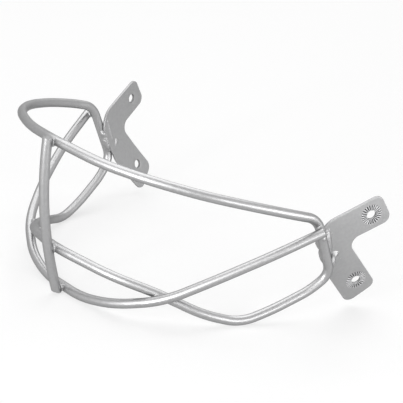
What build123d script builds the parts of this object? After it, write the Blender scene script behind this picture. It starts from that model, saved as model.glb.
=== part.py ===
from build123d import *
import os
from math import cos, radians, sin, tan

os.makedirs("parts", exist_ok=True)

# A softball face guard: two bent steel rods, a centre rod, two screw plates and the welds between them.
# Millimetres and degrees. The guard stands on its two cheek dips and its chin, as it does on a table.
# +Z is up, -Y is in front of the face and +X is the wearer's left. X = 0 is the middle plane.

# Driving sizes of the whole guard, all to the centre of the wire
half_width = 94.0           # middle plane to a side leg of the perimeter rod
reach = 142.0               # rear line of the screw plates to the front of the brow
rise = 85.0                 # lowest wire to highest wire

# Wire
wire_diameter = 5.0         # perimeter rod and jaw rod
centre_diameter = 5.2       # centre rod, a little stouter
root_gap = 0.15             # weld metal left between two crossing rods
bend_share = 0.45           # share of the shorter run that a bend takes up

# Screw plates
plate_thickness = 1.5
shell_radius = 195.0        # the plates are rolled to the round of the helmet's ear flap
toe_out = 18.0              # the plates open towards the rear
stand_tilt = 5.6            # the standing guard leans forward from the way it is worn
hole_diameter = 5.0
upper_hole_back = 26.9      # from the middle of the side leg, along the plate
upper_hole_up = 12.0
lower_hole_back = 23.1
lower_hole_down = 28.2
upper_arm_angle = 20.0      # rises towards the rear
lower_arm_angle = -57.0     # falls towards the rear
upper_arm_half = 8.5        # from the hole to either edge of the upper arm
lower_arm_rear = 7.5        # from the hole to the rear edge of the lower arm
lower_arm_front = 10.8      # from the hole to the front edge of the lower arm
upper_tip_reach = 9.0       # from the hole to the tip of the arm
lower_tip_reach = 11.5
tip_skew = 0.8              # the tips are cut a little askew, longer towards the other arm
upper_neck_reach = 30.5     # from the hole forward to the plate's upper front corner
lower_neck_reach = 16.8     # from the hole forward to the plate's lower front corner
tip_round = 4.4
crotch_round = 5.2
upper_neck_round = 12.6
lower_neck_round = 10.1

# Serrated ring pressed around each hole, on the outer face only
serration_count = 24
serration_inner = 5.9       # diameter where the notches start
serration_outer = 9.8       # diameter where they end
serration_depth = 0.25
serration_width = 0.6

# Weld metal
crossing_bead = 3.0         # radius of the bead where two rods cross
end_bead_shift = 0.8        # the beads at the centre rod's ends sit this far in from the crossing
jaw_end_bead = 3.1          # radius of the bead under a jaw rod's end
seam_bead = 1.9             # radius of the largest lump of the seam in front of a side leg
seam_start = -1.5           # first lump, down the leg from its middle
seam_pitch = 2.5            # spacing of the lumps down the leg
seam_forward = 2.1          # from the leg's centre line forward to the seam's
seam_lump_shares = [1.0, 0.9, 0.8, 1.0, 0.95, 0.75]
tack_bead = 1.7             # radius of a lump of the tack behind a side leg
tack_start = 6.0
tack_pitch = 1.8
tack_behind = 3.3           # from the leg's centre line back to the tack's
tack_rise = 0.4             # the tacks' centres lie this far above the plate's outer face
tack_lump_shares = [1.0, 0.8]
top_tack_bead = 1.6         # the same behind the leg's upper end
top_tack_start = -10.6

overrun = 10.0              # how far a cutting body passes the face that it cuts

# Corners of the perimeter rod's route on the wearer's left, as shares of half_width, reach and rise,
# from the middle of the brow, down the side leg, and forward under the eye to the bridge of the nose
brow_shares = [
    (0.043, 0.991, 0.998), (0.320, 0.954, 0.966), (0.588, 0.878, 0.941), (0.793, 0.744, 0.884),
    (0.919, 0.579, 0.812), (0.986, 0.432, 0.742),
]
leg_shares = [(1.003, 0.332, 0.690), (0.996, 0.233, 0.301)]
cheek_shares = [
    (0.953, 0.296, 0.195), (0.879, 0.428, 0.082), (0.821, 0.540, 0.018), (0.733, 0.665, 0.078),
    (0.561, 0.777, 0.178), (0.372, 0.901, 0.260), (0.063, 0.964, 0.308),
]

# The jaw rod lies one wire outside the perimeter rod. Its corners are given on the inner layer,
# from the chin to the rod's end at the side leg, and are then moved out from the face's middle.
jaw_shares = [
    (0.156, 0.882, 0.030), (0.365, 0.852, 0.076), (0.593, 0.770, 0.170), (0.744, 0.644, 0.321),
    (0.893, 0.481, 0.487), (1.002, 0.320, 0.631),
]
face_middle_share = 0.24    # of reach, from the rear line to the middle that the rods bend round
nose_bow_share = 0.028      # of rise, how far the centre rod bows out between brow and nose bridge
cheek_span_shares = (0.40, 0.75)    # of half_width, where the jaw rod crosses the low bar
leg_span_shares = (0.90, 1.20)      # of half_width, where the jaw rod ends at the side leg

wire_radius = wire_diameter / 2
centre_radius = centre_diameter / 2
wire_pitch = wire_diameter + root_gap
front_pitch = wire_radius + centre_radius + root_gap


def placed(shares):
    """Points of a route from its shares of the three overall sizes."""
    return [Vector(a * half_width, -f * reach, u * rise) for a, f, u in shares]


def mirrored(points):
    """The same points on the wearer's right, in the opposite order."""
    return [Vector(-p.X, p.Y, p.Z) for p in reversed(points)]


def moved_out(point, distance):
    """A point moved level, straight away from the middle of the face."""
    away = Vector(point.X, point.Y + face_middle_share * reach, 0).normalized()
    return point + away * distance


def bend_radii(corners):
    """One bend radius for each corner of a closed route, each as large as its two runs allow."""
    radii = []
    for index, corner in enumerate(corners):
        run_in = corner - corners[index - 1]
        run_out = corners[(index + 1) % len(corners)] - corner
        turn = radians(run_in.get_angle(run_out))
        shorter = min(run_in.length, run_out.length)
        radii.append(bend_share * shorter / tan(turn / 2))
    return radii


def square_to(tangent):
    """The direction square to a line in the middle plane, towards the front."""
    return Vector(0, tangent.Z, -tangent.Y)


def drawn_rod(path, radius):
    """Round wire drawn along a path."""
    return sweep(Plane(origin=path @ 0, z_dir=path % 0) * Circle(radius), path=path)


def in_middle_plane(path):
    """The points where a path's straight runs cross the middle plane, the lowest one first."""
    runs = [edge for edge in path.edges() if (edge @ 0).X * (edge @ 1).X < 0]
    return sorted(((run @ 0 + run @ 1) / 2 for run in runs), key=lambda point: point.Z)


# Perimeter rod: one closed loop over the brow, down both side legs and across under the eyes
perimeter_left = placed(brow_shares + leg_shares + cheek_shares)
perimeter_corners = perimeter_left + mirrored(perimeter_left)
perimeter_path = FilletPolyline(*perimeter_corners, radius=bend_radii(perimeter_corners), close=True)
perimeter_rod = drawn_rod(perimeter_path, wire_radius)

# Jaw rod: from the outside of one side leg, down and round the chin, to the other
jaw_left = [moved_out(p, wire_pitch) for p in placed(jaw_shares)]
jaw_corners = mirrored(jaw_left) + jaw_left
jaw_radii = bend_radii(jaw_corners)[1:-1]
jaw_path = FilletPolyline(*jaw_corners, radius=jaw_radii)
jaw_rod = drawn_rod(jaw_path, wire_radius)

# Centre rod: upright in front of the other two, touching the brow, the nose bridge and the chin.
# It leans back at the chin, so its foot is placed square to that lean, found in a few passes.
foot_passes = 4
bridge_middle, brow_middle = in_middle_plane(perimeter_path)
chin_middle = in_middle_plane(jaw_path)[0]
rod_top = brow_middle + Vector(0, -front_pitch, wire_radius)
bridge_touch = bridge_middle + Vector(0, -front_pitch, 0)
bow_middle = (rod_top + bridge_touch) / 2 + Vector(0, -nose_bow_share * rise, 0)
nose_arc = ThreePointArc(rod_top, bow_middle, bridge_touch)
chin_tangent = Vector(0, 0, -1)
for _ in range(foot_passes):
    rod_foot = chin_middle + square_to(chin_tangent) * front_pitch
    chin_arc = TangentArc(bridge_touch, rod_foot, tangent=nose_arc % 1)
    chin_tangent = chin_arc % 1
centre_path = Wire([nose_arc, chin_arc])
centre_rod = drawn_rod(centre_path, centre_radius)

# Frame of the left screw plate: its seat lies under the middle of the side leg's wire
leg_top, leg_bottom = placed(leg_shares)
leg_middle = (leg_top + leg_bottom) / 2
leg_along = (leg_bottom - leg_top).normalized()
plate_back = Vector(
    sin(radians(toe_out)) * cos(radians(stand_tilt)),
    cos(radians(toe_out)) * cos(radians(stand_tilt)),
    sin(radians(stand_tilt)),
)
plate_outward = leg_along.cross(plate_back).normalized()
outer_face = Plane(
    origin=leg_middle - plate_outward * wire_radius,
    x_dir=plate_back,
    z_dir=plate_outward,
)


def along_arm(hole, angle, forward, aside):
    """A point of the plate's outline, from a hole along its arm and square to it."""
    direction = Vector(cos(radians(angle)), sin(radians(angle)))
    square = Vector(-direction.Y, direction.X)
    return hole + direction * forward + square * aside


def lines_meet(point_a, angle_a, point_b, angle_b):
    """Where two straight edges of the plate's outline would meet."""
    da = Vector(cos(radians(angle_a)), sin(radians(angle_a)))
    db = Vector(cos(radians(angle_b)), sin(radians(angle_b)))
    between = point_b - point_a
    share = (between.X * db.Y - between.Y * db.X) / (da.X * db.Y - da.Y * db.X)
    return point_a + da * share


# Outline of the plate, seen square to its outer face
upper_hole = Vector(upper_hole_back, upper_hole_up)
lower_hole = Vector(lower_hole_back, -lower_hole_down)
upper_tip_top = along_arm(upper_hole, upper_arm_angle, upper_tip_reach - tip_skew, upper_arm_half)
upper_tip_low = along_arm(upper_hole, upper_arm_angle, upper_tip_reach + tip_skew, -upper_arm_half)
lower_tip_rear = along_arm(lower_hole, lower_arm_angle, lower_tip_reach - tip_skew, lower_arm_rear)
lower_tip_front = along_arm(lower_hole, lower_arm_angle, lower_tip_reach + tip_skew, -lower_arm_front)
lower_neck = along_arm(lower_hole, lower_arm_angle, -lower_neck_reach, -lower_arm_front)
upper_neck = along_arm(upper_hole, upper_arm_angle, -upper_neck_reach, upper_arm_half)
crotch = lines_meet(upper_tip_low, upper_arm_angle, lower_tip_rear, lower_arm_angle)
outline_corners = [
    upper_tip_top, upper_tip_low, crotch, lower_tip_rear, lower_tip_front, lower_neck, upper_neck,
]
outline_rounds = [
    tip_round, tip_round, crotch_round, tip_round, tip_round, lower_neck_round, upper_neck_round,
]
outline = make_face(FilletPolyline(*outline_corners, radius=outline_rounds, close=True))


def on_shell(point):
    """A frame on the plate's outer face, square to it, at a point of the outline's plane."""
    lean = point.Y / shell_radius
    rolled = Vector(point.X, shell_radius * sin(lean), shell_radius * (cos(lean) - 1))
    return Plane(origin=rolled, x_dir=(1, 0, 0), z_dir=(0, sin(lean), cos(lean)))


# The plate in its own frame: a piece of a rolled shell whose axis runs front to rear
shell_axis = Plane(origin=(0, 0, -shell_radius), z_dir=(1, 0, 0))
shell_length = 2 * (upper_hole_back + upper_neck_reach + overrun)
shell = shell_axis * (
    Cylinder(shell_radius, shell_length) - Cylinder(shell_radius - plate_thickness, shell_length)
)
blank_depth = 2 * overrun
plate_blank = Pos(0, 0, -overrun) * extrude(outline, blank_depth) & shell
notch_length = (serration_outer - serration_inner) / 2
notch_middle = (serration_outer + serration_inner) / 4
notch_section = make_face(
    Polyline(
        (-serration_width, serration_depth),
        (serration_width, serration_depth),
        (0, -serration_depth),
        close=True,
    )
)
notch = Plane.YZ * extrude(notch_section, notch_length / 2, both=True)
plate_cuts = []
for hole in (upper_hole, lower_hole):
    seat = on_shell(hole)
    plate_cuts.append(seat * Cylinder(hole_diameter / 2, 2 * overrun))
    for step in range(serration_count):
        spin = Rot(0, 0, 360 * step / serration_count)
        plate_cuts.append(seat * spin * Pos(notch_middle, 0, 0) * notch)
left_plate = outer_face * (plate_blank - plate_cuts)


def bead(middle, facing, radius, *neighbours):
    """A round bead of weld metal between two rods, less the pieces that it joins."""
    return Plane(origin=middle, z_dir=facing) * Sphere(radius) - list(neighbours)


def bead_row(first, step, radii, *neighbours):
    """Overlapping round lumps of weld metal in a straight row, less the pieces that they join."""
    places = [Plane(origin=first + step * index, z_dir=step) for index in range(len(radii))]
    lumps = [place * Sphere(radius) for place, radius in zip(places, radii)]
    return lumps[0].fuse(*lumps[1:]) - list(neighbours)


def touching(first_edges, second_edges):
    """Middle and direction of the shortest line between two groups of edges."""
    nearest = [a.distance_to_with_closest_points(b) for a in first_edges for b in second_edges]
    distance, on_first, on_second = min(nearest, key=lambda found: found[0])
    return (on_first + on_second) / 2, (on_second - on_first).normalized()


# Beads between the centre rod and the three bars behind it
ahead = Vector(0, -1, 0)
to_root = ahead * (front_pitch / 2)
end_shift = Vector(0, 0, end_bead_shift)
weld_centre_top = bead(brow_middle + to_root - end_shift, ahead, crossing_bead, centre_rod, perimeter_rod)
weld_centre_low = bead(bridge_middle + to_root, ahead, crossing_bead, centre_rod, perimeter_rod)
weld_centre_jaw = bead(chin_middle + to_root + end_shift, ahead, crossing_bead, centre_rod, jaw_rod)

# Beads between the jaw rod and the perimeter rod: where they cross on the cheek, and at the side leg
cheek_span = (cheek_span_shares[0] * half_width, cheek_span_shares[1] * half_width)
leg_span = (leg_span_shares[0] * half_width, leg_span_shares[1] * half_width)
low_bar_edges = perimeter_path.edges().filter_by_position(Axis.Z, 0, rise / 2)
crossing, crossing_facing = touching(
    low_bar_edges.filter_by_position(Axis.X, *cheek_span),
    jaw_path.edges().filter_by_position(Axis.X, *cheek_span),
)
jaw_end, jaw_end_facing = touching(
    perimeter_path.edges().filter_by_position(Axis.X, *leg_span),
    jaw_path.edges().filter_by_position(Axis.X, *leg_span),
)
weld_crossing_left = bead(crossing, crossing_facing, crossing_bead, perimeter_rod, jaw_rod)
weld_jaw_end_left = bead(jaw_end, jaw_end_facing, jaw_end_bead, perimeter_rod, jaw_rod, left_plate)

# Welds between the side leg and its plate: a seam in front, and two tacks behind
behind_leg = plate_outward.cross(leg_along)
plate_seat = outer_face.origin
seam_first = plate_seat + leg_along * seam_start - behind_leg * seam_forward
tack_line = plate_seat + behind_leg * tack_behind + plate_outward * tack_rise
tack_first = tack_line + leg_along * tack_start
top_tack_first = tack_line + leg_along * top_tack_start
weld_leg_front_left = bead_row(
    seam_first,
    leg_along * seam_pitch,
    [seam_bead * share for share in seam_lump_shares],
    perimeter_rod,
    left_plate,
)
weld_leg_rear_left = bead_row(
    tack_first,
    leg_along * tack_pitch,
    [tack_bead * share for share in tack_lump_shares],
    perimeter_rod,
    left_plate,
)
weld_leg_top_left = bead_row(
    top_tack_first,
    leg_along * tack_pitch,
    [top_tack_bead * share for share in tack_lump_shares],
    perimeter_rod,
    left_plate,
)

# The whole guard: what is on the wearer's left is mirrored to the right
pieces = {
    "perimeter_rod": perimeter_rod,
    "jaw_rod": jaw_rod,
    "centre_rod": centre_rod,
    "weld_centre_top": weld_centre_top,
    "weld_centre_low": weld_centre_low,
    "weld_centre_jaw": weld_centre_jaw,
}
side_pieces = {
    "{}_plate": left_plate,
    "weld_crossing_{}": weld_crossing_left,
    "weld_jaw_end_{}": weld_jaw_end_left,
    "weld_leg_front_{}": weld_leg_front_left,
    "weld_leg_rear_{}": weld_leg_rear_left,
    "weld_leg_top_{}": weld_leg_top_left,
}
for name, piece in side_pieces.items():
    pieces[name.format("left")] = piece
    pieces[name.format("right")] = mirror(piece, about=Plane.YZ)

# The origin is under the middle of the guard, on the table that it stands on
box = Compound(list(pieces.values())).bounding_box()
origin = Vector((box.min.X + box.max.X) / 2, (box.min.Y + box.max.Y) / 2, box.min.Z)
for name, piece in pieces.items():
    export_step(Pos(-origin) * piece, f"parts/{name}.step")
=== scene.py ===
from math import asin, atan2, ceil, cos, pi, radians, sin, tan

import bmesh
import bpy
import numpy as np
from mathutils import Matrix, Vector, noise
from mathutils.geometry import delaunay_2d_cdt


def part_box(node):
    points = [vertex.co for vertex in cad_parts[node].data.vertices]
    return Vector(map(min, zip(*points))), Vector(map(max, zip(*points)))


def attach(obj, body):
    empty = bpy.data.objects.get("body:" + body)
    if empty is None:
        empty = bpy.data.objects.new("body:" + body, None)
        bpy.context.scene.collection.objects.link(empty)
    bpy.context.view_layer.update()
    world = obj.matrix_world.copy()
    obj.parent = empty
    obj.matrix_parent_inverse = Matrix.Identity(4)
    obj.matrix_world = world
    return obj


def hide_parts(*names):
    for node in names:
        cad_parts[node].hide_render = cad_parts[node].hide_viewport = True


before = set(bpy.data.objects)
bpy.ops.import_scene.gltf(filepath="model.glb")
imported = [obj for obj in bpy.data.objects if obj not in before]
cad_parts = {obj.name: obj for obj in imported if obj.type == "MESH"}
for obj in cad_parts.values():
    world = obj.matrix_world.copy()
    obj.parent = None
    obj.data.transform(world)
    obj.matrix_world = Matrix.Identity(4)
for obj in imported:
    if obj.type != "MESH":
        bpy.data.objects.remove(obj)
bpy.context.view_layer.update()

# Perimeter rod: round steel wire bent on a die into one closed loop, over the brow, down both
# sides of the face and across under the eyes. Its butt joint is ground flush. The whole guard is
# sprayed with satin silver paint after welding.
half_width = 0.0940         # middle of the face to the side leg
reach = 0.1420              # rear line of the screw plates to the front of the brow
rise = 0.0850               # lowest wire to highest wire
rear_line = Vector((0, 0.075597, -0.00005))     # where the routes' shares are measured from
wire_radius = 0.0025
bend_share = 0.45           # share of the shorter run that a bend takes up
bend_steps = 64
ring_sides = 28             # corners of the drawn wire's section
ring_spacing = 0.0006       # from one ring of corners to the next along the wire
end_round = 0.0003          # burr taken off a cropped end
end_round_steps = 3
sharp_edge = radians(60)    # the rim of a cropped end is sharper than this, and the wire's sides are not
rod_tone = (0.348, 0.348, 0.351)
rod_gloss = (0.34, 0.42)    # roughness where the paint lies thin and thick
tone_spread = 0.07          # thin and thick paint is this much darker and lighter
flake_grain, cover_grain, peel_grain = 9000.0, 700.0, 2200.0    # grains of the paint to a metre
flake_detail, cover_detail, peel_detail = 2.0, 4.0, 3.0
flake_share = 0.45          # how far the flake shows through the cover
thin_cover = 0.40           # where the paint starts to lie thicker
peel_strength, peel_height = 0.25, 0.0001
edge_tint = 0.45            # the binder holds back the flake's mirroring at a slant
brow_shares = [
    (0.043, 0.991, 0.998), (0.320, 0.954, 0.966), (0.588, 0.878, 0.941), (0.793, 0.744, 0.884),
    (0.919, 0.579, 0.812), (0.986, 0.432, 0.742),
]
leg_shares = [(1.003, 0.332, 0.690), (0.996, 0.233, 0.301)]
cheek_shares = [
    (0.953, 0.296, 0.195), (0.879, 0.428, 0.082), (0.821, 0.540, 0.018), (0.733, 0.665, 0.078),
    (0.561, 0.777, 0.178), (0.372, 0.901, 0.260), (0.063, 0.964, 0.308),
]


def placed(shares):
    """Corners of a wire's route on the wearer's left, from shares of the three overall sizes."""
    return [rear_line + Vector((a * half_width, -f * reach, u * rise)) for a, f, u in shares]


def mirrored(points):
    """The same points on the wearer's right, in the opposite order."""
    return [Vector((-p.x, p.y, p.z)) for p in reversed(points)]


def bend_radii(corners):
    """The radius of the die at each corner, as large as the two runs allow."""
    radii = []
    for index, corner in enumerate(corners):
        run_in = corner - corners[index - 1]
        run_out = corners[(index + 1) % len(corners)] - corner
        shorter = min(run_in.length, run_out.length)
        radii.append(bend_share * shorter / tan(run_in.angle(run_out) / 2))
    return radii


def silver_paint(name, tone, gloss_range, metal=0.9):
    """Satin aluminium paint: fine flake, a faint orange peel and slightly uneven cover."""
    material = bpy.data.materials.new(name)
    material.use_nodes = True
    nodes, links = material.node_tree.nodes, material.node_tree.links
    shader = nodes["Principled BSDF"]
    place = nodes.new("ShaderNodeTexCoord").outputs["Object"]

    def grain(scale, detail):
        texture = nodes.new("ShaderNodeTexNoise")
        texture.inputs["Scale"].default_value = scale
        texture.inputs["Detail"].default_value = detail
        links.new(place, texture.inputs["Vector"])
        return texture.outputs["Fac"]

    flake = grain(flake_grain, flake_detail)
    cover = grain(cover_grain, cover_detail)
    peel = grain(peel_grain, peel_detail)
    mixed = nodes.new("ShaderNodeMath")
    mixed.operation = "MULTIPLY_ADD"
    mixed.inputs[1].default_value = flake_share
    links.new(flake, mixed.inputs[0])
    links.new(cover, mixed.inputs[2])
    ramp = nodes.new("ShaderNodeValToRGB")
    thin, thick = ramp.color_ramp.elements
    thin.position = thin_cover
    thin.color = [*(channel * (1 - tone_spread) for channel in tone), 1]
    thick.color = [*(channel * (1 + tone_spread) for channel in tone), 1]
    links.new(mixed.outputs[0], ramp.inputs[0])
    links.new(ramp.outputs["Color"], shader.inputs["Base Color"])
    gloss = nodes.new("ShaderNodeMapRange")
    gloss.inputs["To Min"].default_value = gloss_range[0]
    gloss.inputs["To Max"].default_value = gloss_range[1]
    links.new(cover, gloss.inputs["Value"])
    links.new(gloss.outputs["Result"], shader.inputs["Roughness"])
    bump = nodes.new("ShaderNodeBump")
    bump.inputs["Strength"].default_value = peel_strength
    bump.inputs["Distance"].default_value = peel_height
    links.new(peel, bump.inputs["Height"])
    links.new(bump.outputs["Normal"], shader.inputs["Normal"])
    shader.inputs["Metallic"].default_value = metal
    shader.inputs["Specular Tint"].default_value = (edge_tint, edge_tint, edge_tint, 1)
    return material


def wire_route(name, corners, radii, closed):
    """The wire's centre line as straight runs, each corner carrying the radius of its bend."""
    curve = bpy.data.curves.new(name, "CURVE")
    curve.dimensions = "3D"
    spline = curve.splines.new("POLY")
    spline.points.add(len(corners) - 1)
    for point, corner, radius in zip(spline.points, corners, radii):
        point.co = (*corner, 1)
        point.radius = radius
    spline.use_cyclic_u = closed
    piece = bpy.data.objects.new(name, curve)
    bpy.context.scene.collection.objects.link(piece)
    return piece


def wire_drawing():
    """Geometry nodes that bend a route at its corners and draw round wire along it."""
    tree = bpy.data.node_groups.new("wire_drawing", "GeometryNodeTree")
    sockets = tree.interface
    sockets.new_socket("Route", in_out="INPUT", socket_type="NodeSocketGeometry")
    sockets.new_socket("Wire radius", in_out="INPUT", socket_type="NodeSocketFloat")
    sockets.new_socket("Ring spacing", in_out="INPUT", socket_type="NodeSocketFloat")
    sockets.new_socket("Ring sides", in_out="INPUT", socket_type="NodeSocketInt")
    sockets.new_socket("Paint", in_out="INPUT", socket_type="NodeSocketMaterial")
    sockets.new_socket("Wire", in_out="OUTPUT", socket_type="NodeSocketGeometry")
    nodes, links = tree.nodes, tree.links
    given, made = nodes.new("NodeGroupInput"), nodes.new("NodeGroupOutput")
    bend = nodes.new("GeometryNodeFilletCurve")
    bend.mode = "POLY"
    bend.inputs["Count"].default_value = bend_steps
    bend_radius = nodes.new("GeometryNodeInputRadius")
    spaced = nodes.new("GeometryNodeResampleCurve")
    spaced.mode = "LENGTH"
    even = nodes.new("GeometryNodeSetCurveRadius")
    even.inputs["Radius"].default_value = 1
    section = nodes.new("GeometryNodeCurvePrimitiveCircle")
    skin = nodes.new("GeometryNodeCurveToMesh")
    skin.inputs["Fill Caps"].default_value = True
    real = nodes.new("GeometryNodeRealizeInstances")
    smooth = nodes.new("GeometryNodeSetShadeSmooth")
    painted = nodes.new("GeometryNodeSetMaterial")
    links.new(given.outputs["Route"], bend.inputs["Curve"])
    links.new(bend_radius.outputs["Radius"], bend.inputs["Radius"])
    links.new(bend.outputs["Curve"], spaced.inputs["Curve"])
    links.new(given.outputs["Ring spacing"], spaced.inputs["Length"])
    links.new(spaced.outputs["Curve"], even.inputs["Curve"])
    links.new(given.outputs["Ring sides"], section.inputs["Resolution"])
    links.new(given.outputs["Wire radius"], section.inputs["Radius"])
    links.new(even.outputs["Curve"], skin.inputs["Curve"])
    links.new(section.outputs["Curve"], skin.inputs["Profile Curve"])
    links.new(skin.outputs["Mesh"], real.inputs["Geometry"])
    links.new(real.outputs["Geometry"], smooth.inputs["Geometry"])
    links.new(smooth.outputs["Geometry"], painted.inputs["Geometry"])
    links.new(given.outputs["Paint"], painted.inputs["Material"])
    links.new(painted.outputs["Geometry"], made.inputs["Wire"])
    return tree


def drawn_wire(name, corners, radii, closed, radius, paint, tree):
    """A finished rod: its route run through the wire drawing, with the burr off any cropped end."""
    route = wire_route(name + "_route", corners, radii, closed)
    modifier = route.modifiers.new("wire", "NODES")
    modifier.node_group = tree
    sizes = {
        "Wire radius": radius, "Ring spacing": ring_spacing, "Ring sides": ring_sides, "Paint": paint,
    }
    for socket in tree.interface.items_tree:
        if socket.name in sizes:
            modifier[socket.identifier] = sizes[socket.name]
    bpy.context.view_layer.update()
    finished = route.evaluated_get(bpy.context.evaluated_depsgraph_get())
    mesh = bpy.data.meshes.new_from_object(finished)
    bpy.data.objects.remove(route)
    piece = bpy.data.objects.new(name, mesh)
    bpy.context.scene.collection.objects.link(piece)
    if not closed:
        cropped = piece.modifiers.new("cropped_end", "BEVEL")
        cropped.width = end_round
        cropped.segments = end_round_steps
        cropped.angle_limit = sharp_edge
        cropped.harden_normals = True
    return piece


rod_paint = silver_paint("satin_silver_rod_paint", rod_tone, rod_gloss)
wire_tree = wire_drawing()
left_corners = placed(brow_shares + leg_shares + cheek_shares)
perimeter_corners = left_corners + mirrored(left_corners)
perimeter = drawn_wire(
    "painted_perimeter_rod", perimeter_corners, bend_radii(perimeter_corners), True,
    wire_radius, rod_paint, wire_tree,
)
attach(perimeter, "root")
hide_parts("perimeter_rod")

# Jaw rod: the lower, outer wire of the same stock, bent round the chin from the outside of one
# side leg to the other, and cropped square at both ends. It lies against the perimeter rod, which
# it crosses on each cheek, and is welded to it there and at its ends.
root_gap = 0.00015          # weld metal left between two crossing rods
end_crop = 0.0006           # cut off each end of the route
face_middle_share = 0.24    # of reach, from the rear line to the middle that the rods bend round
jaw_shares = [
    (0.156, 0.882, 0.030), (0.365, 0.852, 0.076), (0.593, 0.770, 0.170), (0.744, 0.644, 0.321),
    (0.893, 0.481, 0.487), (1.002, 0.320, 0.631),
]


def moved_out(point, distance):
    """A point moved level, straight away from the middle of the face."""
    middle = rear_line.y - face_middle_share * reach
    return point + Vector((point.x, point.y - middle, 0)).normalized() * distance


jaw_left = [moved_out(point, 2 * wire_radius + root_gap) for point in placed(jaw_shares)]
jaw_left[-1] -= (jaw_left[-1] - jaw_left[-2]).normalized() * end_crop
jaw_corners = mirrored(jaw_left) + jaw_left
jaw_radii = [0, *bend_radii(jaw_corners)[1:-1], 0]
jaw = drawn_wire("painted_jaw_rod", jaw_corners, jaw_radii, False, wire_radius, rod_paint, wire_tree)
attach(jaw, "root")
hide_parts("jaw_rod")

# Centre rod: a slightly stouter upright wire in front of the other two, welded to the brow, to the
# bridge over the nose and to the chin. It bows out over the nose and then leans back to the chin.
# Its top is cropped square, and its foot is sheared off at a slant.
centre_radius = 0.0026
nose_bow_share = 0.028      # of rise, how far the rod bows out between brow and nose bridge
foot_passes = 4             # the foot and the arc that leads to it are worked out in turn
foot_lean = radians(12)     # the foot's cut faces down and this far to the front
foot_shortening = 0.0002    # and crosses the rod's middle line this far above its end
arc_steps = 24
front_pitch = wire_radius + centre_radius + root_gap


def arc_points(start, end, centre):
    """Points on the shorter arc from start to end, in the middle plane."""
    first, last = start - centre, end - centre
    turn = first.angle(last)
    axis = first.cross(last).normalized()
    turns = [Matrix.Rotation(turn * step / arc_steps, 3, axis) for step in range(arc_steps + 1)]
    return [centre + rotation @ first for rotation in turns]


def bowed_centre(start, middle, end):
    """Middle of the circle through three points."""
    a, b = middle - start, end - start
    square = a.cross(b)
    across = b.length_squared * square.cross(a) + a.length_squared * b.cross(square)
    return start + across / (2 * square.length_squared)


def tangent_centre(start, heading, end):
    """Middle of the circle that leaves start along heading and passes through end."""
    chord = end - start
    aside = (chord - heading * chord.dot(heading)).normalized()
    return start + aside * chord.length_squared / (2 * aside.dot(chord))


def centre_line(piece):
    """The line through the middle of a drawn rod's rings."""
    places = np.empty(len(piece.data.vertices) * 3)
    piece.data.vertices.foreach_get("co", places)
    return places.reshape(-1, ring_sides, 3).mean(axis=1)


brow_middle = Vector((0, left_corners[0].y, left_corners[0].z))
bridge_middle = Vector((0, left_corners[-1].y, left_corners[-1].z))
chin_middle = Vector((0, jaw_left[0].y, jaw_left[0].z))
rod_top = brow_middle + Vector((0, -front_pitch, wire_radius))
bridge_touch = bridge_middle + Vector((0, -front_pitch, 0))
bow_middle = (rod_top + bridge_touch) / 2 + Vector((0, -nose_bow_share * rise, 0))
nose_centre = bowed_centre(rod_top, bow_middle, bridge_touch)
across_nose = (bridge_touch - nose_centre).normalized()
bridge_heading = Vector((0, across_nose.z, -across_nose.y))
bridge_heading *= -1 if bridge_heading.z > 0 else 1
chin_heading = Vector((0, 0, -1))
for _ in range(foot_passes):
    rod_foot = chin_middle + Vector((0, chin_heading.z, -chin_heading.y)) * front_pitch
    chin_centre = tangent_centre(bridge_touch, bridge_heading, rod_foot)
    across_chin = (rod_foot - chin_centre).normalized()
    chin_heading = Vector((0, across_chin.z, -across_chin.y))
    chin_heading *= -1 if chin_heading.z > 0 else 1
centre_route = arc_points(rod_top, bridge_touch, nose_centre)
centre_route += arc_points(bridge_touch, rod_foot, chin_centre)[1:]
centre = drawn_wire(
    "painted_centre_rod", centre_route, [0] * len(centre_route), False,
    centre_radius, rod_paint, wire_tree,
)
rod_line = centre_line(centre)
trimmed = bmesh.new()
trimmed.from_mesh(centre.data)
foot_trim = Vector((0, -sin(foot_lean), -cos(foot_lean)))
cut_edge = bmesh.ops.bisect_plane(
    trimmed, geom=trimmed.verts[:] + trimmed.edges[:] + trimmed.faces[:],
    plane_co=centre_route[-1] - foot_trim * foot_shortening, plane_no=foot_trim, clear_outer=True,
)["geom_cut"]
bmesh.ops.holes_fill(trimmed, edges=[part for part in cut_edge if isinstance(part, bmesh.types.BMEdge)])
trimmed.to_mesh(centre.data)
trimmed.free()
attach(centre, "root")
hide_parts("centre_rod")

# Screw plates: stamped from 1.5 mm steel, rolled to the round of the helmet's ear flap and welded
# under the side legs. A ring of serrations is pressed round each screw hole on the outer face, and
# the die leaves the outer edges round.
plate_thickness = 0.0015
shell_radius = 0.195
toe_out, stand_tilt = radians(18.0), radians(5.6)
upper_hole = Vector((0.0269, 0.0120))
lower_hole = Vector((0.0231, -0.0282))
upper_arm_angle, lower_arm_angle = radians(20.0), radians(-57.0)
upper_arm_half = 0.0085
lower_arm_rear, lower_arm_front = 0.0075, 0.0108
upper_tip_reach, lower_tip_reach, tip_skew = 0.0090, 0.0115, 0.0008
upper_neck_reach, lower_neck_reach = 0.0305, 0.0168
outline_rounds = [0.0044, 0.0044, 0.0052, 0.0044, 0.0044, 0.0101, 0.0126]
corner_steps = 6            # at least, round a corner of the outline
face_round, rear_round = 0.00045, 0.00025
round_steps = 4
edge_band = 0.00015         # flat strip beside a rounded edge
hole_radius, hole_round = 0.0025, 0.00018
rim_steps = 3
serration_count = 24
serration_outer, serration_run_out = 0.00570, 0.00030
serration_depth, serration_lip = 0.00042, 0.00008
notch_share = 0.27          # half of a notch's width, as a share of the serrations' pitch
notch_slope, lip_slope = 1.6, 3     # how steeply a notch sinks and its lip rises
notch_steps = 8
ring_steps = serration_count * notch_steps
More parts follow.
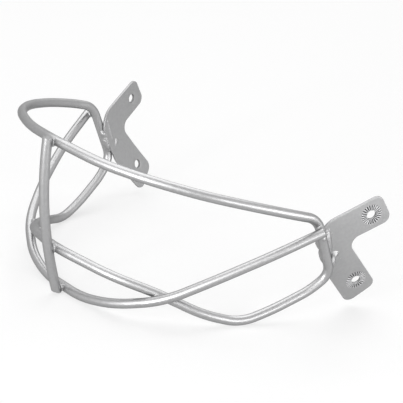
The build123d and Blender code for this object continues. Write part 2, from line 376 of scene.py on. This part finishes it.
ring_reach = 0.0061         # the face is finely divided out to here round a hole
relief_spacing = 0.00015    # and this finely
edge_spacing = 0.0007
grid_spacing = 0.0020
grid_clearance = 0.6        # of the grid's spacing, kept free beside the edge and the holes
same_place = 1e-9           # points closer than this count as one
sliver_size = 1e-10         # and triangles smaller than this are left out
plate_tone = (0.33, 0.33, 0.333)
plate_gloss, plate_metal = (0.42, 0.48), 0.7
crest_highlight_tone = (0.48, 0.48, 0.49, 1)      # painted highlight on the raised crests of the serrations
notch_shade_tone = (0.03, 0.03, 0.03, 1)      # painted shade at the bottom of a notch
bore_shade = 0.6            # and painted shade on the wall of a hole, by this share of a notch's


def along_arm(hole, angle, forward, aside):
    """A point of the plate's outline, from a hole along its arm and square to it."""
    direction = Vector((cos(angle), sin(angle)))
    return hole + direction * forward + direction.orthogonal() * aside


def lines_meet(point_a, angle_a, point_b, angle_b):
    """Where two straight edges of the outline would meet."""
    da, db = Vector((cos(angle_a), sin(angle_a))), Vector((cos(angle_b), sin(angle_b)))
    return point_a + da * ((point_b - point_a).cross(db) / da.cross(db))


def rounded_outline(corners, rounds):
    """Closely spaced points round the outline, each with the direction into the plate."""
    points = []
    for index, (corner, radius) in enumerate(zip(corners, rounds)):
        back, on = corners[index - 1] - corner, corners[(index + 1) % len(corners)] - corner
        back.normalize()
        on.normalize()
        half = back.angle(on) / 2
        middle = corner + (back + on).normalized() * (radius / sin(half))
        first = corner + back * (radius / tan(half)) - middle
        last = corner + on * (radius / tan(half)) - middle
        hollow = -1 if back.cross(on) < 0 else 1
        steps = max(corner_steps, ceil(radius * first.angle(last) / edge_spacing))
        turn = atan2(first.cross(last), first.dot(last))
        for step in range(steps + 1):
            arm = Matrix.Rotation(turn * step / steps, 2) @ first
            points.append((middle + arm, -hollow * arm.normalized()))
    full = []
    for index, (point, inward) in enumerate(points):
        following, next_inward = points[(index + 1) % len(points)]
        parts = max(1, ceil((following - point).length / grid_spacing))
        for part in range(parts):
            share = part / parts
            full.append((point.lerp(following, share), inward.lerp(next_inward, share).normalized()))
    return full


upper_tip_top = along_arm(upper_hole, upper_arm_angle, upper_tip_reach - tip_skew, upper_arm_half)
upper_tip_low = along_arm(upper_hole, upper_arm_angle, upper_tip_reach + tip_skew, -upper_arm_half)
lower_tip_rear = along_arm(lower_hole, lower_arm_angle, lower_tip_reach - tip_skew, lower_arm_rear)
lower_tip_front = along_arm(lower_hole, lower_arm_angle, lower_tip_reach + tip_skew, -lower_arm_front)
lower_neck = along_arm(lower_hole, lower_arm_angle, -lower_neck_reach, -lower_arm_front)
upper_neck = along_arm(upper_hole, upper_arm_angle, -upper_neck_reach, upper_arm_half)
crotch = lines_meet(upper_tip_low, upper_arm_angle, lower_tip_rear, lower_arm_angle)
outline = rounded_outline(
    [upper_tip_top, upper_tip_low, crotch, lower_tip_rear, lower_tip_front, lower_neck, upper_neck],
    outline_rounds,
)
leg_top, leg_bottom = placed(leg_shares)
leg_along = (leg_bottom - leg_top).normalized()
plate_back = Vector((sin(toe_out) * cos(stand_tilt), cos(toe_out) * cos(stand_tilt), sin(stand_tilt)))
plate_outward = leg_along.cross(plate_back).normalized()
plate_up = plate_outward.cross(plate_back)
plate_seat = (leg_top + leg_bottom) / 2 - plate_outward * wire_radius


def rolled(flat, depth):
    """A point of the rolled plate in the guard's frame, from the flat outline and a depth."""
    lean = asin(flat[1] / shell_radius)
    across = (shell_radius - depth) * sin(lean)
    proud = (shell_radius - depth) * cos(lean) - shell_radius
    return plate_seat + plate_back * flat[0] + plate_up * across + plate_outward * proud


def quarter_round(size, steps):
    """Inset and depth of points round an edge, from the face to the wall."""
    turns = [pi / 2 * step / steps for step in range(steps + 1)]
    return [(size * (1 - sin(turn)), size * (1 - cos(turn))) for turn in turns]


def notch(radius, turn):
    """How fully a place lies in a pressed notch, and how fully on the metal pushed up beside it."""
    pitch = 2 * pi / serration_count
    aside = abs((turn + pitch / 2) % pitch - pitch / 2) / (notch_share * pitch)
    run_out = min(1, max(0, serration_outer - radius) / serration_run_out)
    sunk = min(1, max(0, notch_slope * (1 - aside)))
    raised = min(1, max(0, lip_slope * (aside - 1)))
    return sunk * run_out, raised * run_out


def strip(mesh, loops):
    """Faces between neighbouring loops of vertices."""
    for near, far in zip(loops, loops[1:]):
        for index in range(len(near)):
            after = (index + 1) % len(near)
            mesh.faces.new((near[index], near[after], far[after], far[index]))


def within(spot, ring):
    """Whether a flat point lies inside a closed ring of points."""
    ends = np.array(ring)
    starts = np.roll(ends, 1, axis=0)
    spans = (starts[:, 1] > spot[1]) != (ends[:, 1] > spot[1])
    rise_to = np.where(spans, ends[:, 1] - starts[:, 1], 1.0)
    crossing = starts[:, 0] + (spot[1] - starts[:, 1]) / rise_to * (ends[:, 0] - starts[:, 0])
    return bool(np.count_nonzero(spans & (spot[0] < crossing)) % 2)


def face_fill(mesh, loops, flats, depth):
    """A face of the plate between its edge and its holes, as even triangles."""
    border = [flat for ring in flats for flat in ring]
    low_x, high_x = min(f[0] for f in border), max(f[0] for f in border)
    low_y, high_y = min(f[1] for f in border), max(f[1] for f in border)
    edge, *holes = flats
    spots = []
    for row in range(int((high_y - low_y) / grid_spacing) + 1):
        for column in range(int((high_x - low_x) / grid_spacing) + 1):
            along = column + 0.5 * (row % 2)
            spot = Vector((low_x + along * grid_spacing, low_y + row * grid_spacing))
            clear = min((spot - Vector(f)).length for f in border) > grid_clearance * grid_spacing
            if clear and within(spot, edge) and not any(within(spot, hole) for hole in holes):
                spots.append(spot)
    points = [Vector(f) for f in border] + spots
    rims, start = [], 0
    for ring in flats:
        rims += [(start + k, start + (k + 1) % len(ring)) for k in range(len(ring))]
        start += len(ring)
    triangles = delaunay_2d_cdt(points, rims, [], 0, same_place)[2]
    vertices = [v for loop in loops for v in loop] + [mesh.verts.new(rolled(s, depth)) for s in spots]
    for triangle in triangles:
        one, two, three = (points[k] for k in triangle)
        middle = (one + two + three) / 3
        sliver = abs((two - one).cross(three - one)) < sliver_size
        if not sliver and within(middle, edge) and not any(within(middle, hole) for hole in holes):
            mesh.faces.new([vertices[k] for k in triangle])


def stamped_plate():
    """The left plate: rounded edges, two bored and serrated holes, and both faces."""
    mesh = bmesh.new()
    # each vertex holds painted highlight above 0 and painted shade below 0 for the plate paint
    painted_light_and_shade = mesh.verts.layers.float.new("painted_light_and_shade")
    rear_edge = reversed(quarter_round(rear_round, round_steps))
    wall = [(face_round + edge_band, 0)] + quarter_round(face_round, round_steps)
    wall += [(inset, plate_thickness - depth) for inset, depth in rear_edge]
    wall += [(rear_round + edge_band, plate_thickness)]
    rings = []
    for inset, depth in wall:
        flats = [point + inward * inset for point, inward in outline]
        rings.append((flats, [mesh.verts.new(rolled(flat, depth)) for flat in flats], depth))
    strip(mesh, [ring[1] for ring in rings])
    fronts, rears = [rings[0]], [rings[-1]]
    face_reach = ring_reach - hole_radius - hole_round
    face_steps = ceil(face_reach / relief_spacing)
    rim = quarter_round(hole_round, rim_steps)
    bore = [(ring_reach - face_reach * step / face_steps, 0) for step in range(face_steps)]
    bore += [(hole_radius + inset, depth) for inset, depth in rim]
    bore += [(hole_radius + inset, plate_thickness - depth) for inset, depth in reversed(rim)]
    bore += [(ring_reach, plate_thickness)]
    for hole in (upper_hole, lower_hole):
        middle = Vector((hole.x, shell_radius * sin(hole.y / shell_radius)))
        loops = []
        for radius, depth in bore:
            in_bore = depth > hole_round and radius < hole_radius + hole_round
            flats, loop = [], []
            for step in range(ring_steps):
                turn = 2 * pi * step / ring_steps
                flat = middle + Vector((cos(turn), sin(turn))) * radius
                sunk, raised = notch(radius, turn) if depth <= hole_round else (0, 0)
                pressed = depth + sunk * serration_depth - raised * serration_lip
                vertex = mesh.verts.new(rolled(flat, pressed))
                # painted shade on the bore's wall, painted highlight on the crests and painted shade in
                # the notches
                vertex[painted_light_and_shade] = -bore_shade if in_bore else raised - sunk
                flats.append(flat)
                loop.append(vertex)
            loops.append((flats, loop, depth))
        strip(mesh, [loop[1] for loop in loops])
        fronts.append(loops[0])
        rears.append(loops[-1])
    for borders in (fronts, rears):
        flats, loops, depths = zip(*borders)
        face_fill(mesh, loops, flats, depths[0])
    bmesh.ops.recalc_face_normals(mesh, faces=mesh.faces)
    for face in mesh.faces:
        face.smooth = True
    return mesh


def kept(name, mesh, paint, slot, *nodes):
    """A finished mesh as a painted piece in place of its solids."""
    data = bpy.data.meshes.new(name)
    mesh.to_mesh(data)
    data.materials.append(paint)
    piece = bpy.data.objects.new(name, data)
    bpy.context.scene.collection.objects.link(piece)
    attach(piece, "root")
    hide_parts(*nodes)


def turned_over(mesh):
    """The mesh turned into its mirror image, for the wearer's right."""
    bmesh.ops.scale(mesh, vec=(-1, 1, 1), verts=mesh.verts)
    bmesh.ops.recalc_face_normals(mesh, faces=mesh.faces)
    return mesh


plate_paint = silver_paint("satin_silver_plate_paint", plate_tone, plate_gloss, plate_metal)
paint_nodes, paint_links = plate_paint.node_tree.nodes, plate_paint.node_tree.links
bare_tone = paint_nodes["Principled BSDF"].inputs["Base Color"]
# The plate paint is painted lighter on the serrations' crests as painted highlight, and darker in the
# notches and on the holes' walls as painted shade.
serrated = paint_nodes.new("ShaderNodeAttribute")
serrated.attribute_name = "painted_light_and_shade"
cover_and_painted_light = bare_tone.links[0].from_socket
for mark, height, tone in (("painted_crest_highlight", 1, crest_highlight_tone), ("painted_notch_shade", -1, notch_shade_tone)):
    share = paint_nodes.new("ShaderNodeMapRange")
    share.inputs["From Max"].default_value = height
    paint_links.new(serrated.outputs["Fac"], share.inputs["Value"])
    painted_light_mix = paint_nodes.new("ShaderNodeMix")
    painted_light_mix.name = mark
    painted_light_mix.data_type = "RGBA"
    painted_light_mix.inputs["B"].default_value = tone
    paint_links.new(share.outputs["Result"], painted_light_mix.inputs["Factor"])
    paint_links.new(cover_and_painted_light, painted_light_mix.inputs["A"])
    cover_and_painted_light = painted_light_mix.outputs["Result"]
paint_links.new(cover_and_painted_light, bare_tone)
plate_mesh = stamped_plate()
kept("painted_left_plate", plate_mesh, plate_paint, "plate_paint", "left_plate")
kept("painted_right_plate", turned_over(plate_mesh), plate_paint, "plate_paint", "right_plate")

# Welds where two rods cross: short arc welds. The metal wets both rods, fills the corners between
# them in a hollow round and stands a little proud, with the lumps of the weld pool.
crossing_fill = 0.0012      # how far the metal creeps up from the corner between two rods
crossing_reach = 0.0040     # and along it
feather = 0.00003           # the weld's thin edge runs this far under the rod's skin
edge_slope = 1.4            # how steeply the fill grows to its full size behind that edge
least_fill = 1e-6           # next to none, at the thin edge
lump_size = 0.0011
lump_height = 0.00020
lump_shift = (7.3, 3.1, 5.7)        # in lumps, from one weld to the next
spatter_fill = 2.0          # a drop melts into its neighbours over no more than this many radii
skin_cell = 0.00016         # spacing of the grid that a weld's skin is found on
rim_cells, spare_cells = 2, 3       # worked out beyond the metal's rim, and left empty round it
skin_smoothing = 0.5
near_span = 0.012           # the rods are measured this far round a weld
weld_tone = (0.36, 0.36, 0.363)
weld_gloss = (0.45, 0.52)


def rod_depth(wire, about, span=near_span):
    """A function of points: their distance to the skin of a wire, near a place.

    A wire is its line, its radius and its cropped ends.
    """
    line, radius, ends = wire
    away = np.linalg.norm(line - about, axis=1)
    turned = np.roll(line, -away.argmax(), axis=0)
    away = np.roll(away, -away.argmax())
    near = np.flatnonzero(away < span)
    start = turned[near.min():near.max()]
    end = turned[near.min() + 1:near.max() + 1]
    along = end - start
    cuts = [(place, heading) for place, heading in ends if np.linalg.norm(place - about) < span]

    def depth(points):
        offset = points[:, None, :] - start[None]
        share = (offset * along).sum(2) / (along ** 2).sum(1)
        nearest = offset - np.clip(share, 0, 1)[:, :, None] * along
        distance = np.sqrt((nearest ** 2).sum(2).min(1)) - radius
        for place, heading in cuts:
            distance = np.maximum(distance, (points - place) @ heading)
        return distance

    return depth


def melted(first, second, fill):
    """Two bodies of metal run together, with a hollow round of about the fill's size."""
    overlap = np.maximum(fill - np.abs(first - second), 0) / fill
    return np.minimum(first, second) - overlap ** 2 * fill / 4


def skinned(depth_to, low, high):
    """A closed skin round the metal, with a point in each grid cell that the surface passes."""
    counts = np.ceil((high - low) / skin_cell).astype(int) + 1
    ticks = [low[axis] + skin_cell * np.arange(counts[axis]) for axis in range(3)]
    grid = np.stack(np.meshgrid(*ticks, indexing="ij"), axis=-1)
    depth = np.stack([depth_to(slab.reshape(-1, 3)).reshape(slab.shape[:2]) for slab in grid])
    total, touched = np.zeros((*(counts - 1), 3)), np.zeros(counts - 1)
    rings = []
    for axis in range(3):
        near, far = [slice(None)] * 3, [slice(None)] * 3
        near[axis], far[axis] = slice(0, -1), slice(1, None)
        here, there = depth[tuple(near)], depth[tuple(far)]
        crossed = (here < 0) != (there < 0)
        cells = np.argwhere(crossed)
        share = here[crossed] / (here[crossed] - there[crossed])
        passed = low + skin_cell * (cells + share[:, None] * np.eye(3)[axis])
        aside, across = (np.eye(3, dtype=int)[other] for other in range(3) if other != axis)
        ring = [cells, cells - aside, cells - aside - across, cells - across]
        for corner in ring:
            np.add.at(total, tuple(corner.T), passed)
            np.add.at(touched, tuple(corner.T), 1)
        rings.append(np.stack(ring, axis=1))
    used = np.argwhere(touched > 0)
    number = np.zeros(counts - 1, dtype=int)
    number[tuple(used.T)] = np.arange(len(used))
    places = total[tuple(used.T)] / touched[tuple(used.T)][:, None]
    corners = np.concatenate(rings)
    quads = number[corners[..., 0], corners[..., 1], corners[..., 2]]
    rough = bpy.data.meshes.new("rough_weld")
    rough.from_pydata(places.tolist(), [], quads.tolist())
    mesh = bmesh.new()
    mesh.from_mesh(rough)
    bpy.data.meshes.remove(rough)
    bmesh.ops.smooth_vert(
        mesh, verts=mesh.verts, factor=skin_smoothing, use_axis_x=True, use_axis_y=True, use_axis_z=True,
    )
    bmesh.ops.recalc_face_normals(mesh, faces=mesh.faces)
    for face in mesh.faces:
        face.smooth = True
    return mesh


def weld_metal(drops, bodies, fill, margin, seed, lumps):
    """Weld metal: drops, each a place and a radius, run together with the bodies they lie on."""
    middles = np.array([place for place, _ in drops])
    radii = np.array([radius for _, radius in drops])
    shift = Vector([seed * step for step in lump_shift])

    def depth_to(points):
        gaps = np.linalg.norm(points[:, None] - middles[None], axis=2) - radii
        room = margin - gaps.min(axis=1)
        depth = -room
        held = np.flatnonzero(room > -rim_cells * skin_cell)
        if not len(held):
            return depth
        points, room = points[held], room[held]
        fills = np.maximum(least_fill, fill * np.clip(edge_slope * room / margin, 0, 1))
        skins = [body(points) + feather for body in bodies]
        bare, metal = np.minimum.reduce(skins), skins[0]
        for skin in skins[1:]:
            metal = melted(metal, skin, fills)
        for gap, radius in zip(gaps[held].T, radii):
            metal = melted(metal, gap, np.minimum(fills, spatter_fill * radius))
        proud = np.clip((bare - metal) / lumps, 0, 1)
        skin_near = np.abs(metal) < 2 * lumps
        for index in np.flatnonzero((proud > 0) & skin_near):
            bump = noise.noise(Vector(points[index]) / lump_size + shift)
            metal[index] += bump * lumps * proud[index]
        depth[held] = np.maximum(metal, -room)
        return depth

    reach_out = (radii + margin)[:, None] + spare_cells * skin_cell
    return skinned(depth_to, (middles - reach_out).min(axis=0), (middles + reach_out).max(axis=0))


def crossing_weld(node, first, second, drops, seed):
    """The weld between two wires, its drops set out from a pool on the side of its solid."""
    low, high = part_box(node)
    about = np.array((low + high) / 2)
    lines = [line[np.linalg.norm(line - about, axis=1) < near_span] for line, _, _ in (first, second)]
    gaps = np.linalg.norm(lines[0][:, None] - lines[1][None], axis=2)
    here, there = np.unravel_index(gaps.argmin(), gaps.shape)
    middle = (lines[0][here] + lines[1][there]) / 2
    pool = (middle + about) / 2
    bodies = [rod_depth(wire, about) for wire in (first, second)]
    laid = [(pool + np.array(offset), radius) for *offset, radius in drops]
    margin = crossing_reach - max(radius for _, radius in laid)
    return weld_metal(laid, bodies, crossing_fill, margin, seed, lump_height)


def cropped_ends(line):
    """Both cut ends of a rod, each with its outward direction."""
    first, last = line[0] - line[1], line[-1] - line[-2]
    return [(line[0], first / np.linalg.norm(first)), (line[-1], last / np.linalg.norm(last))]


weld_paint = silver_paint("satin_silver_weld_paint", weld_tone, weld_gloss)
jaw_line = centre_line(jaw)
perimeter_wire = (centre_line(perimeter), wire_radius, [])
jaw_wire = (jaw_line, wire_radius, cropped_ends(jaw_line))
centre_wire = (rod_line, centre_radius, cropped_ends(rod_line))
# A drop's place is how far it lies to the wearer's left, behind and above the pool. Its radius
# follows.
top_bead = [(0, 0, 0.0002, 0.0012), (0.0001, 0, -0.0014, 0.0011)]
bridge_bead = [(0, 0, 0.0001, 0.0011), (0.0002, 0, 0.0021, 0.0010)]
chin_bead = [(0, 0, 0, 0.0009), (0.0001, 0, 0.0013, 0.0008)]
left_cheek_bead = [(0, 0, 0, 0.0014)]
right_cheek_bead = [
    (0, 0, 0, 0.0016), (0.0008, -0.0009, 0.0010, 0.0013), (0.0016, -0.0017, 0.0019, 0.0012),
]
left_end_bead = [(0, 0, 0, 0.0018), (-0.0003, 0.0031, -0.0059, 0.0006)]
right_end_bead = [(-aside, behind, above, radius) for aside, behind, above, radius in left_end_bead]
crossings = [
    ("weld_centre_top", perimeter_wire, centre_wire, top_bead),
    ("weld_centre_low", perimeter_wire, centre_wire, bridge_bead),
    ("weld_centre_jaw", jaw_wire, centre_wire, chin_bead),
    ("weld_crossing_left", perimeter_wire, jaw_wire, left_cheek_bead),
    ("weld_crossing_right", perimeter_wire, jaw_wire, right_cheek_bead),
    ("weld_jaw_end_left", perimeter_wire, jaw_wire, left_end_bead),
    ("weld_jaw_end_right", perimeter_wire, jaw_wire, right_end_bead),
]
for seed, (node, first, second, drops) in enumerate(crossings):
    mesh = crossing_weld(node, first, second, drops, seed)
    kept("painted_" + node, mesh, weld_paint, "weld_paint", node)

# Welds between a side leg and its plate: a lumpy seam laid down the front of the leg, and two short
# tacks behind it on the plate's outer face, which run out in thin fillets. Spatter lies round them.
# A drop's place is how far it lies down the leg, behind it and out from the plate's face.
behind_leg = plate_outward.cross(leg_along)
seam_fill, tack_fill = 0.0018, 0.0016
leg_margin = 0.0016
leg_span = 0.022            # the leg is measured this far round its seat on the plate
tack_lumps = 0.00009        # the tacks wet out smoother than the seam
seam_bead = [
    (-0.0023, -0.0015, 0.0002, 0.00155), (-0.0005, -0.00135, 0.0002, 0.0014),
    (0.0013, -0.0010, 0.0002, 0.00115), (0.0030, -0.0008, 0.0002, 0.0009),
    (0.0046, -0.0012, 0.0002, 0.0013), (0.0064, -0.0013, 0.0002, 0.00135),
    (0.0082, -0.0012, 0.0002, 0.0012), (0.0098, -0.0010, 0.0002, 0.0011),
    (0.0118, -0.0006, 0.0002, 0.0008),
]
right_seam_bead = [(-0.0002, -0.0014, 0.0002, 0.0011)] + seam_bead[2:]
tack_bead = [
    (0.0099, 0.0056, -0.0003, 0.0014), (0.0111, 0.0043, -0.0003, 0.0011),
    (0.0124, 0.0034, 0.0002, 0.0013), (0.0138, 0.0033, 0.0002, 0.0013),
    (0.0152, 0.0031, 0.0002, 0.0011),
]
tack_spatter = [(0.0142, 0.0080, 0, 0.00022)]
leg_top_bead = [
    (-0.0050, 0.0040, -0.0002, 0.0010), (-0.0036, 0.0037, 0.0003, 0.0013),
    (-0.0020, 0.0036, 0.0003, 0.0014), (-0.0004, 0.0035, 0.0003, 0.0014),
    (0.0012, 0.0034, 0.0003, 0.0014), (0.0028, 0.0033, 0.0003, 0.0013),
    (0.0044, 0.0032, 0.0002, 0.0012), (0.0060, 0.0030, 0, 0.0011),
]
leg_top_spatter = [(-0.0064, 0.0055, 0, 0.00028), (-0.0037, 0.0068, 0, 0.00022)]


def plate_depth(points):
    """Distance from points to the plate's metal, as if the plate ran on past its edges."""
    offset = points - np.array(plate_seat)
    proud = offset @ np.array(plate_outward) + (offset @ np.array(plate_up)) ** 2 / (2 * shell_radius)
    return np.abs(proud + plate_thickness / 2) - plate_thickness / 2


leg_depth = rod_depth(perimeter_wire, np.array(plate_seat), leg_span)
seam_finish = ([leg_depth], seam_fill, lump_height)
tack_finish = ([leg_depth, plate_depth], tack_fill, tack_lumps)
leg_welds = [
    ("weld_leg_front_left", seam_bead, seam_finish),
    ("weld_leg_front_right", right_seam_bead, seam_finish),
    ("weld_leg_rear_left", tack_bead + tack_spatter, tack_finish),
    ("weld_leg_rear_right", tack_bead + tack_spatter, tack_finish),
    ("weld_leg_top_left", leg_top_bead + leg_top_spatter, tack_finish),
    ("weld_leg_top_right", leg_top_bead + leg_top_spatter, tack_finish),
]
for seed, (node, drops, (bodies, fill, lumps)) in enumerate(leg_welds, start=len(crossings)):
    laid = []
    for down, behind, out, radius in drops:
        laid.append((plate_seat + leg_along * down + behind_leg * behind + plate_outward * out, radius))
    mesh = weld_metal(laid, bodies, fill, leg_margin, seed, lumps)
    if node.endswith("right"):
        turned_over(mesh)
    kept("painted_" + node, mesh, weld_paint, "weld_paint", node)

# Table: a wide white board. The camera and the metal see part of its white without its shade, so
# it stays white in the picture and keeps a soft shadow near the guard.
table_half = 3.0
board_white, board_roughness = 0.93, 0.9
shadow_share = 0.35         # how much of the board's light and shade is seen under the guard
shadow_near, shadow_far = 0.20, 1.10    # and it fades out between these distances
table_mesh = bpy.data.meshes.new("table")
table_corners = [(table_half * x, table_half * y, 0) for x, y in ((-1, -1), (1, -1), (1, 1), (-1, 1))]
table_mesh.from_pydata(table_corners, [], [(0, 1, 2, 3)])
table = bpy.data.objects.new("table", table_mesh)
bpy.context.scene.collection.objects.link(table)
table_finish = bpy.data.materials.new("table_white")
table_finish.use_nodes = True
table_nodes, table_links = table_finish.node_tree.nodes, table_finish.node_tree.links
board = table_nodes["Principled BSDF"]
board.inputs["Base Color"].default_value = (board_white, board_white, board_white, 1)
board.inputs["Roughness"].default_value = board_roughness
board.inputs["Specular IOR Level"].default_value = 0.0


def seen_directly(nodes, links):
    """1 for what the camera sees and what metal mirrors, 0 for light on a surface."""
    light_path = nodes.new("ShaderNodeLightPath")
    seen = nodes.new("ShaderNodeMath")
    seen.operation = "MAXIMUM"
    links.new(light_path.outputs["Is Camera Ray"], seen.inputs[0])
    links.new(light_path.outputs["Is Glossy Ray"], seen.inputs[1])
    return seen.outputs[0]


from_guard = table_nodes.new("ShaderNodeVectorMath")
from_guard.operation = "LENGTH"
table_links.new(table_nodes.new("ShaderNodeTexCoord").outputs["Object"], from_guard.inputs[0])
plain_share = table_nodes.new("ShaderNodeMapRange")
plain_share.inputs["From Min"].default_value = shadow_near
plain_share.inputs["From Max"].default_value = shadow_far
plain_share.inputs["To Min"].default_value = 1 - shadow_share
table_links.new(from_guard.outputs["Value"], plain_share.inputs["Value"])
whiteness = table_nodes.new("ShaderNodeMath")
whiteness.operation = "MULTIPLY"
table_links.new(seen_directly(table_nodes, table_links), whiteness.inputs[0])
table_links.new(plain_share.outputs["Result"], whiteness.inputs[1])
plain_white = table_nodes.new("ShaderNodeEmission")
shown = table_nodes.new("ShaderNodeMixShader")
table_links.new(whiteness.outputs[0], shown.inputs[0])
table_links.new(board.outputs[0], shown.inputs[1])
table_links.new(plain_white.outputs[0], shown.inputs[2])
table_links.new(shown.outputs[0], table_nodes["Material Output"].inputs["Surface"])
table_mesh.materials.append(table_finish)

# Light: an even white surround, five soft boxes and a narrow upright strip in front. The strip
# draws the bright line down the centre rod, and the boxes light the wires and the left plate.
surround_glow = 0.08        # what the surround adds to the light, though it is seen as plain white
soft_boxes = [      # heading and height in degrees, distance, width and height of the box, and glow
    ("front_box", 18, 20, 1.2, (1.5, 1.0), 2.7),
    ("front_strip", 14, 10, 1.0, (0.10, 0.34), 32.0),
    ("overhead_box", -112, 68, 1.0, (1.25, 0.95), 2.1),
    ("left_box", 104, 9, 0.7, (0.8, 0.36), 4.1),
    ("left_rear_box", 128, 22, 1.2, (0.5, 0.5), 1.3),
    ("rear_box", -145, 36, 1.2, (0.6, 0.5), 1.6),
]
world = bpy.data.worlds.new("studio")
bpy.context.scene.world = world
world.use_nodes = True
world_nodes, world_links = world.node_tree.nodes, world.node_tree.links
sky = world_nodes["Background"]
sky.inputs["Color"].default_value = (1, 1, 1, 1)
strength = world_nodes.new("ShaderNodeMapRange")
strength.inputs["To Min"].default_value = surround_glow
world_links.new(seen_directly(world_nodes, world_links), strength.inputs["Value"])
world_links.new(strength.outputs["Result"], sky.inputs["Strength"])


def soft_box(name, heading, height, distance, size, glow):
    """A soft box of even glow, turned to the middle of the table.

    Heading 0 is in front of the guard, and 90 is at the wearer's left.
    """
    angle, rise_angle = radians(heading), radians(height)
    level_reach = cos(rise_angle) * distance
    place = Vector((sin(angle) * level_reach, -cos(angle) * level_reach, sin(rise_angle) * distance))
    light = bpy.data.lights.new(name, "AREA")
    light.shape = "RECTANGLE"
    light.size, light.size_y = size
    light.energy = glow * pi * size[0] * size[1]
    lamp = bpy.data.objects.new(name, light)
    lamp.location = place
    lamp.rotation_euler = (-place).to_track_quat("-Z", "Y").to_euler()
    lamp.visible_camera = False
    bpy.context.scene.collection.objects.link(lamp)


for box in soft_boxes:
    soft_box(*box)

# Camera: a long lens above and to the front left of the guard. It aims a little behind the middle
# of the guard's open inside, and is rolled a little.
aim = Vector((0.00951, 0.02588, 0.03774))
azimuth, elevation, roll = radians(48.333), radians(21.96), radians(5.064)
camera_distance = 0.88534
sensor_width, lens = 36.0, 147.715      # millimetres
back = Vector((sin(azimuth) * cos(elevation), -cos(azimuth) * cos(elevation), sin(elevation)))
level = Vector((cos(azimuth), sin(azimuth), 0))
upright = back.cross(level)
right = level * cos(roll) + upright * sin(roll)
up = upright * cos(roll) - level * sin(roll)
camera = bpy.data.objects.new("camera", bpy.data.cameras.new("camera"))
camera.data.sensor_width = sensor_width
camera.data.lens = lens
facing = Matrix((right, up, back)).transposed().to_4x4()
camera.matrix_world = Matrix.Translation(aim + back * camera_distance) @ facing
bpy.context.scene.collection.objects.link(camera)
bpy.context.scene.camera = camera
bpy.context.scene.view_settings.view_transform = "Standard"
